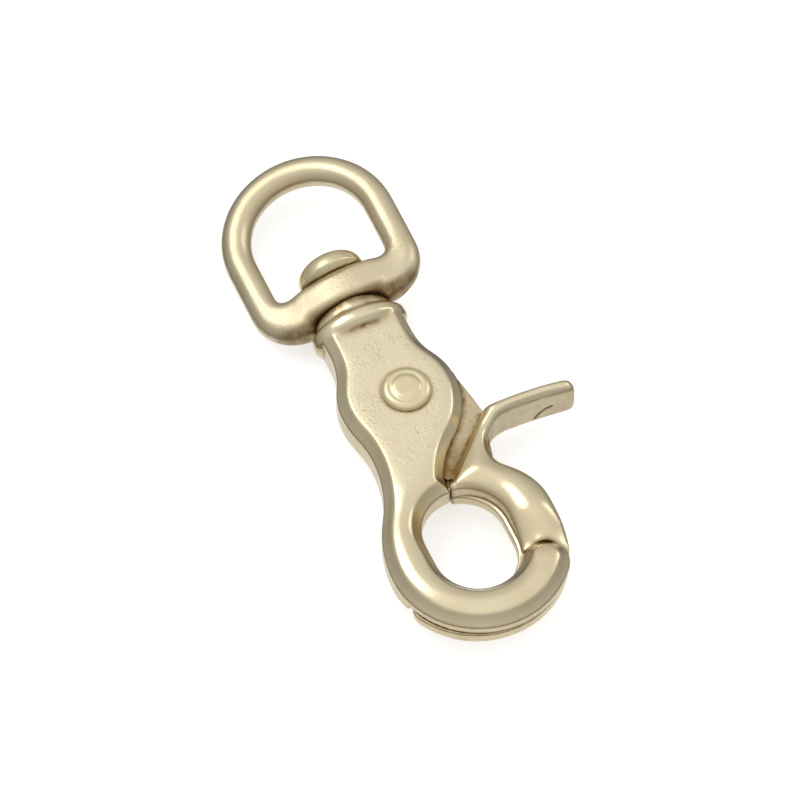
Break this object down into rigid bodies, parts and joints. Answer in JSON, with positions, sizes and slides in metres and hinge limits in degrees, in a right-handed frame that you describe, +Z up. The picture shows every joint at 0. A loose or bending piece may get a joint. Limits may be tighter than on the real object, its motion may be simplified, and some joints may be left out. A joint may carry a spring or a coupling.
{
  "type": "trigger snap",
  "caption": "Cast brass swivel trigger snap: scissor jaws lap on a parting plane and close by a spring, a thumb lever opens them, and a D-shaped eye turns on a rivet.",
  "frame": {"origin": "middle of the hook opening, on the plane where the two half-jaws meet", "axes": "+X across the snap towards the thumb lever, +Y along the swivel axis towards the eye, +Z up through the front face with the rivet head"},
  "size_m": [0.0262, 0.0603, 0.0072],
  "materials": {
    "cast_brass": "tumbled pale brass casting",
    "rivet_brass": "smooth yellow brass",
    "spring_steel": "drawn wire"
  },
  "bodies": {
    "body": {"hook_body": "cast_brass", "pivot_rivet": "rivet_brass", "swivel_rivet": "rivet_brass", "torsion_spring": "spring_steel"},
    "trigger": {"trigger": "cast_brass"},
    "eye": {"swivel_eye": "cast_brass"}
  },
  "joints": [
    {"name": "trigger_hinge", "type": "hinge", "parent": "body", "child": "trigger", "pos_m": [0.0007, 0.018, 0], "axis": [0, 0, 1], "range_deg": [0, 40], "stiffness_Nm_per_rad": 0.02, "springref_deg": -22.92, "deforming": ["torsion_spring"]},
    {"name": "eye_swivel", "type": "hinge", "parent": "body", "child": "eye", "pos_m": [0, 0.0325, 0], "axis": [0, 1, 0], "continuous": true}
  ]
}
